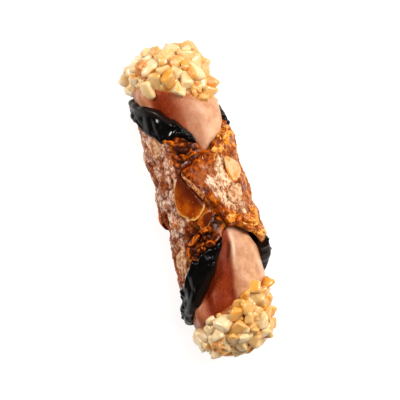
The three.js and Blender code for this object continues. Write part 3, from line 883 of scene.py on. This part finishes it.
chips = {"spacing": 2.1, "sizes": (3.4, 6.2), "sink": 0.5, "tilt": 0.7, "seed": 6}
crumbs = {"spacing": 2.0, "sizes": (2.4, 7.0), "sink": 0.4, "tilt": 1.2, "seed": 8}
rim_chips = scattered("baked_rim_almonds", crust, "chip_bed", shards, baked, **chips)
toffee_crumbs = scattered("toffee_crumbs", crust, "crumb_bed", shards, toffee, **crumbs)

LONG_SHARDS = [  # turn, x, the angle from the roll's length, and the length
    (-26, 25.6, -46, 6.2),
    (-24, -14.6, 37, 7.2),
    (-12, 23.0, -70, 4.6),
    (-35, -18.5, 12, 5.0),
    (-8, -12.0, 64, 4.4),
]


def long_shard(number, turn, x, spin, length):
    """A splinter of almond in toffee, lying on the crust at an angle to the roll's length"""
    mesh = chopped_almond(FIRST_SPLINTER + number, 3, 0.42, 0.5)
    lie, face = math.radians(spin), math.radians(turn)
    around = Vector((0, -math.cos(face), -math.sin(face)))
    lengthwise = Vector((1, 0, 0)) * math.cos(lie) + around * math.sin(lie)
    outward = Vector((0, -math.sin(face), math.cos(face)))
    breadthwise = outward.cross(lengthwise)
    turned = Matrix((lengthwise, breadthwise, outward)).transposed().to_4x4()
    middle = Vector((at(turn, x, SHELL_RADIUS + 0.9) * MM).tolist())
    mesh.transform(Matrix.Translation(middle) @ turned @ Matrix.Scale(length * MM, 4))
    piece = add(f"toffee_shard_{number}", mesh)
    paint(piece, tone=np.ones(len(mesh.vertices)))
    return piece


long_shards = [long_shard(number, *shard) for number, shard in enumerate(LONG_SHARDS)]
for piece in long_shards:
    toffee.coat(piece)
for piece in [nuts_under, nuts_over, rim_chips, toffee_crumbs, *long_shards]:
    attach(piece, "root")

# The chocolate on the rims
# Each rim was dipped in melted dark chocolate, which rounds the cut edge, runs down the crust in lobes and
# sets glossy and lumpy. Beside the flap it was wiped away, so that the baked almonds show.

COAT_THIN = 0.8
COAT_FROM = 24
COAT_TO = WRAP_END - 97
COAT_ROWS = 420
SKIN_COLUMNS = 44
LIP_COLUMNS = 18
BACK_COLUMNS = 8
COAT_INSIDE = 3.4  # how far the chocolate reaches in over the inner face
END_ROWS = 5  # the rows over which each end of a coat rounds off


def chocolate_rim(name, node, edge, side, drip, fall, crags):
    """The dipped rim: a skin over the crust, a rounded lip, an inner face, and a way back in the dough"""
    wrap = np.linspace(COAT_FROM, COAT_TO, COAT_ROWS)[:, None]
    turns = HIDDEN_TURN - wrap
    taper = np.clip(np.minimum((wrap - COAT_FROM + 2) / 24, (COAT_TO - wrap + 2) / 20), 0, 1)
    flap_side = smooth(wrap, *FLAP_SIDE)
    lobes = 1.0 * np.sin(wrap / 9 + drip) + 0.7 * np.sin(wrap / 4.7 + 2 * drip) + 0.4 * np.sin(wrap / 2.1)
    hang = fall * (0.48 + 0.62 * hump(wrap, 78, 23))
    down = (mixed(hang, 5.4, flap_side) + lobes) * taper + 1.2
    rim = edge(wrap)

    def outside(inset):
        x = rim + side * inset
        return x, dough_radius(wrap, np.clip(x, foot_edge(wrap), head_edge(wrap)))

    share = np.linspace(0, 1, SKIN_COLUMNS)[None, :]
    inset = mixed(-down, 0.4, share)
    x, seat = outside(inset)
    thick = mixed(COAT + 0.1, COAT_THIN, flap_side)
    bead = np.sqrt(np.clip(1 - (1 - np.clip(share * down / 1.5, 0, 1)) ** 2, 0, 1))
    swell = 1 + 0.25 * hump(share * down, 1.6, 1.2)
    places = at(turns, x, seat)
    rough = crags(wrap)
    blobs = smooth(0.75 - cells(places * [0.5, 1, 1], 5.4, 20 + drip), 0, 0.75) - 0.4
    crumbs = smooth(0.7 - cells(places, 3.3, 23 + drip), 0, 0.6) - 0.35
    from_rim = (1 - share) * down
    crumbs = (1.0 + 0.6 * flap_side) * rough * crumbs * smooth(from_rim, 0.2, 1.2)
    lumps = 0.9 * blobs * smooth(from_rim, 1.2, 3.6) + crumbs
    rise = bead * (thick * swell + lumps)
    skin_rings = at(turns, x, seat - 0.25 + np.maximum(rise + 0.25 * bead, 0))

    angle = np.linspace(0, np.pi, LIP_COLUMNS)[None, :]
    x_lip, seat_lip = outside(0.4)
    middle = seat_lip - DOUGH / 2
    reach = DOUGH / 2 + thick
    lip_places = at(turns, x_lip, middle + reach * np.cos(angle))
    lip_lumps = 1 + 0.3 * rough * grain(lip_places, 2.4, 22, 2) * np.sin(angle)
    lip_rise = rise[:, -1:] - thick
    pooled = 1.7 * smooth(wrap, 268, 292)
    lip_x = x_lip + side * (COAT + 0.3) * np.sin(angle) ** 0.8 * lip_lumps
    outward, inward = np.clip(np.cos(angle), 0, 1), np.clip(-np.cos(angle), 0, 1)
    lip = at(turns, lip_x, middle + reach * np.cos(angle) + lip_rise * outward - pooled * inward)
    back_share = np.linspace(0, 1, BACK_COLUMNS)[None, :]
    x_in, seat_in = outside(mixed(0.2, -COAT_INSIDE, back_share))
    face = at(turns, x_in, seat_in - DOUGH - (thick + pooled) * (1 - back_share**3))
    x_back, seat_back = outside(mixed(-COAT_INSIDE, -down * 0.9, back_share))
    back = at(turns, x_back, seat_back - 0.6 * DOUGH * (1 - back_share) - 0.5)
    rings = np.concatenate([skin_rings, lip[:, 1:-1], face, back[:, 1:]], 1)
    ends = np.clip(np.minimum(np.arange(COAT_ROWS), COAT_ROWS - 1 - np.arange(COAT_ROWS)) / END_ROWS, 0, 1)
    ends = np.sqrt(1 - (1 - ends) ** 2)[:, None, None]
    heart = rings.mean(1, keepdims=True)
    rings = heart + (rings - heart) * np.maximum(ends, 0.05)
    rings[..., 2] = np.maximum(rings[..., 2], 0.35)
    piece = skin(name, rings)
    smeared = smooth(-from_rim, -2.0, -0.4) * (1 - np.clip(rough, 0, 1)) * (1 - 0.6 * flap_side)
    lip_mask = np.zeros(rings.shape[:2])
    lip_mask[:, :SKIN_COLUMNS] = smeared
    lip_mask[:, SKIN_COLUMNS : SKIN_COLUMNS + LIP_COLUMNS + BACK_COLUMNS] = 1
    paint(piece, lip=lip_mask)
    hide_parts(node)
    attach(piece, "root")
    return piece


dark = Finish("dark_chocolate", IOR=1.45, Specular_IOR_Level=0.34)
dark_colour = dark.blend(dark.noise(4.0).step(0.35, 0.7), (8, 5, 4), (16, 10, 8))
dark.wear(
    Base_Color=dark.blend(dark.mask("lip") * 0.85, dark_colour, (34, 20, 14)),
    Roughness=0.15 + 0.13 * dark.mask("lip") + 0.1 * dark.noise(2.0),
)
dark.bump(dark.noise(2.4, 2.0, 0.4), 0.25, 0.3)


def head_crags(wrap):
    """How craggy the chocolate set along the head's rim"""
    return mixed(1, 0.05, smooth(wrap, 42, 54)) + 0.6 * smooth(wrap, 94, 108)


def foot_crags(wrap):
    side = mixed(0.8, 0.05, smooth(wrap, 40, 55)) + 1.3 * smooth(wrap, 94, 106)
    return side - 0.5 * smooth(wrap, 134, 150)


rims = [
    chocolate_rim("dark_chocolate_head", "chocolate_rim_head", head_edge, 1, 0.4, 9.6, head_crags),
    chocolate_rim("dark_chocolate_foot", "chocolate_rim_foot", foot_edge, -1, 2.1, 11.5, foot_crags),
]
for rim in rims:
    dark.coat(rim)

# The flaked almonds
# Thin slices across an almond, baked on to the crust. Heat turns the middle amber and glassy and leaves a
# paler rim. Each is bent with the crust, and some curl up at one side.

FLAKE_TOP = 0.45  # how far its middle stands above its edge
FLAKE_UNDER = 1.1  # and how far its underside reaches down into the crust
CURLED_UNDER = 0.3  # the same where it has curled clear of the crust
FLAKE_RINGS = 14
FLAKE_POINTS = 56
# The lift is how far the edge stands above the dough's own level, among the blisters. The bow is how far the
# two ends bend down. Lengths are in mm, and the spin is the angle from the roll's length.
FLAKES = [  # name, lift, bow, paleness of the rim, turn, x, length, width, spin, amber, frost
    ("front", 0.85, 0.0, 1, -14.5, 4.9, 23.6, 13.6, 13, 1.0, 0),
    ("small", 0.75, 0.2, 1, -3, -8, 7.5, 5, 60, 1.0, 0),
    ("right", 0.6, 0.4, 1.08, 47, 8.8, 11.5, 8.8, -28, 0.3, 0.1),
    ("right_low", 0.35, 0.2, 1, 42, -1, 9, 8, 50, 0.1, 0.7),
    ("left", 1.4, 2.6, 0.8, -96, -3.4, 10, 9, 8, 1.0, 0),
    ("left_high", 0.35, 0.2, 1, -44, 24.4, 10, 8, 70, 0.3, 0.9),
    ("left_low", 0.35, 0.2, 1, -55, -21.5, 11, 8.5, 35, 0.3, 0.95),
    ("back_right", 0.35, 0.6, 1, 118, 6, 16, 11.5, 62, 0.7, 0.1),
    ("back_left", 0.35, 0.6, 1, -130, 17, 15, 11, -40, 0.4, 0.2),
]


def wrap_at(turn, x):
    """The wrap of the dough that lies outermost at a place"""
    over = 360 + HIDDEN_TURN - turn
    covered = over <= WRAP_END and foot_edge(np.array(over)) < x < head_edge(np.array(over))
    return float(over if covered or turn > HIDDEN_TURN else HIDDEN_TURN - turn)


def almond_flake(number, name, lift, bow, rim, turn, x, long, wide, spin, amber, frost):
    """A flake as rings from the middle of its top, round its edge, to the middle of its underside"""
    wrap = wrap_at(turn, x)
    seat = float(dough_radius(np.array(wrap), np.array(float(x)))) + lift
    reach = np.concatenate([np.linspace(0.02, 1, FLAKE_RINGS), np.linspace(1, 0.02, FLAKE_RINGS)])[:, None]
    under = CURLED_UNDER if bow > 1 else FLAKE_UNDER
    swell = np.repeat([FLAKE_TOP, -under], FLAKE_RINGS)[:, None]
    angle = np.linspace(0, 2 * np.pi, FLAKE_POINTS, endpoint=False)[None, :]
    wavy = 1 + 0.035 * np.sin(3 * angle + number) + 0.025 * np.sin(7 * angle + 2 * number)
    pointed = 1 - 0.38 * (np.cos(angle) * reach + 0.3)
    away = reach * np.cos(angle) * wavy * long / 2
    across = reach * np.sin(angle) * wavy * pointed * wide / 2
    rounded = np.sqrt(np.clip(1 - np.clip((reach - 0.86) / 0.14, 0, 1) ** 2, 0, 1))
    curl = 0.35 * (across / wide) * np.sin(number) + 0.5 * reach**3 * np.sin(angle + number)
    bend = math.radians(spin)
    dx = away * math.cos(bend) - across * math.sin(bend)
    around = away * math.sin(bend) + across * math.cos(bend)
    level = seat + swell * rounded + curl - bow * (reach * np.cos(angle)) ** 2
    turns, places_x = turn + np.degrees(around / seat), x + dx
    over = 360 + HIDDEN_TURN - turns
    tucked = smooth(places_x - foot_edge(over), -1.6, 0.2) * (wrap < BACK_WRAP)
    tucked = tucked * smooth(turns, FLAP_TIP_TURN - 3, FLAP_TIP_TURN + 1)
    tucked = tucked * smooth(head_edge(over) - places_x, -0.8, 0.6)
    rings = at(turns, places_x, level - 1.9 * tucked)
    rings[..., 2] = rings[..., 2] + 0.07 * grain(rings, 2.5, 30 + number, 2)
    piece = skin(f"baked_flake_{name}", rings)
    pale_rim = rim * (1 - 0.25 * smooth(reach * np.cos(angle), 0.2, 0.6))
    darkest = smooth(reach * np.cos(angle - 0.45), -0.8, 0.0) * (bow < 1)
    whole = np.ones(rings.shape[:2])
    paint(piece, edge=reach * pale_rim, darkest=darkest, amber=whole * amber, frost=whole * frost)
    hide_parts(f"almond_flake_{name}")
    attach(piece, "root")
    return piece


sliced = Finish("flaked_almond", IOR=1.5, Specular_IOR_Level=0.16)
middle = sliced.layered(
    sliced.blend(sliced.noise(5.0, 2.0).step(0.3, 0.7), (140, 52, 0), (212, 108, 4)),
    (sliced.mask("darkest") * 0.9, (80, 18, 0)),
)
blanched = sliced.blend(sliced.noise(2.4).step(0.35, 0.7), (236, 168, 90), (255, 224, 174))
rim_share = (sliced.mask("edge") + 0.24 * (sliced.noise(1.6) - 0.5)).step(0.89, 0.98)
bubbles = 1 - sliced.dots(1.9).step(0.08, 0.18)
dusted = (sliced.mask("frost") + 0.6 * (sliced.noise(2.2, 4.0) - 0.5)).step(0.3, 0.75)
flake_colour = sliced.layered(
    sliced.blend(sliced.mask("amber"), blanched, middle),
    (rim_share, sliced.blend(sliced.mask("amber"), (214, 124, 30), (226, 168, 88))),
    (bubbles * 0.3, (240, 196, 110)),
    (dusted * 0.9, sliced.blend(sliced.noise(1.6, 4.0).step(0.36, 0.64), (166, 102, 62), (230, 188, 152))),
    (dusted * sliced.noise(1.0, 3.0, 0.3).step(0.56, 0.68) * 0.75, (120, 52, 16)),
)
sliced.wear(
    Base_Color=flake_colour,
    Roughness=0.28 + 0.14 * sliced.noise(1.5) + 0.3 * dusted,
    Coat_Weight=0.15 * sliced.mask("amber") * (1 - dusted),
)
sliced.bump(sliced.noise(1.4, 3.0) * (0.3 + dusted), 0.25, 0.5)
for number, flake in enumerate(FLAKES):
    sliced.coat(almond_flake(number, *flake))

# The table, the light and the camera
# A plain pale table. Two soft lights stand at the picture's upper right, one of them high above, and a weaker
# one fills in from the left. The camera looks straight down, and the roll leans 15 degrees in its picture.

LEAN = math.radians(15)
PICTURE_RIGHT = Vector((-math.sin(LEAN), -math.cos(LEAN), 0))
PICTURE_UP = Vector((math.cos(LEAN), -math.sin(LEAN), 0))
PICTURE_WIDTH = 0.160  # what the picture spans at the roll's middle
CAMERA_HEIGHT = 0.8
SENSOR_WIDTH = 36
ORIGIN_RIGHT, ORIGIN_UP = 0.00104, 0.00028  # where the origin lies from the picture's middle

camera_data = bpy.data.cameras.new("camera")
camera_data.sensor_width = SENSOR_WIDTH
camera_data.lens = SENSOR_WIDTH * CAMERA_HEIGHT / PICTURE_WIDTH
camera = add("camera", camera_data)
eye = -PICTURE_RIGHT * ORIGIN_RIGHT - PICTURE_UP * ORIGIN_UP
eye.z = CAMERA_HEIGHT + AXIS_HEIGHT * MM
facing = Matrix((PICTURE_RIGHT, PICTURE_UP, Vector((0, 0, 1)))).transposed().to_4x4()
camera.matrix_world = Matrix.Translation(eye) @ facing
bpy.context.scene.camera = camera

floor_mesh = bpy.data.meshes.new("table")
HALF_TABLE = 3.0
corners = [(-1, -1), (1, -1), (1, 1), (-1, 1)]
floor_mesh.from_pydata([(x * HALF_TABLE, y * HALF_TABLE, 0) for x, y in corners], [], [(0, 1, 2, 3)])
floor = add("table", floor_mesh)
tabletop = Finish("pale_table", Roughness=0.9, Emission_Strength=0.6, Emission_Color=(1, 1, 1, 1))
tabletop.wear(Base_Color=tabletop.blend(tabletop.noise(40), (176, 176, 175), (182, 182, 181)))
tabletop.coat(floor)


def softbox(name, right, up, height, width, power, tint):
    """A square soft light that faces the roll from a place in the picture's directions, in metres"""
    data = bpy.data.lights.new(name, "AREA")
    data.size, data.energy, data.color = width, power, tint
    light = add(name, data)
    place = PICTURE_RIGHT * right + PICTURE_UP * up + Vector((0, 0, height))
    light.matrix_world = Matrix.Translation(place) @ place.to_track_quat("Z", "Y").to_matrix().to_4x4()


softbox("key", 0.46, 0.26, 0.38, 0.24, 3.0, (1.0, 0.99, 0.97))
softbox("fill", -0.42, 0.20, 0.38, 0.12, 1.65, (1.0, 0.99, 0.98))
softbox("top", 0.22, 0.18, 0.85, 0.4, 2.1, (1.0, 1.0, 1.0))
world = bpy.data.worlds.new("studio")
world.use_nodes = True
world.node_tree.nodes["Background"].inputs["Color"].default_value = (1.0, 1.0, 1.0, 1)
world.node_tree.nodes["Background"].inputs["Strength"].default_value = 0.14
bpy.context.scene.world = world
bpy.context.scene.view_settings.view_transform = "Standard"
bpy.context.scene.view_settings.look = "Medium High Contrast"
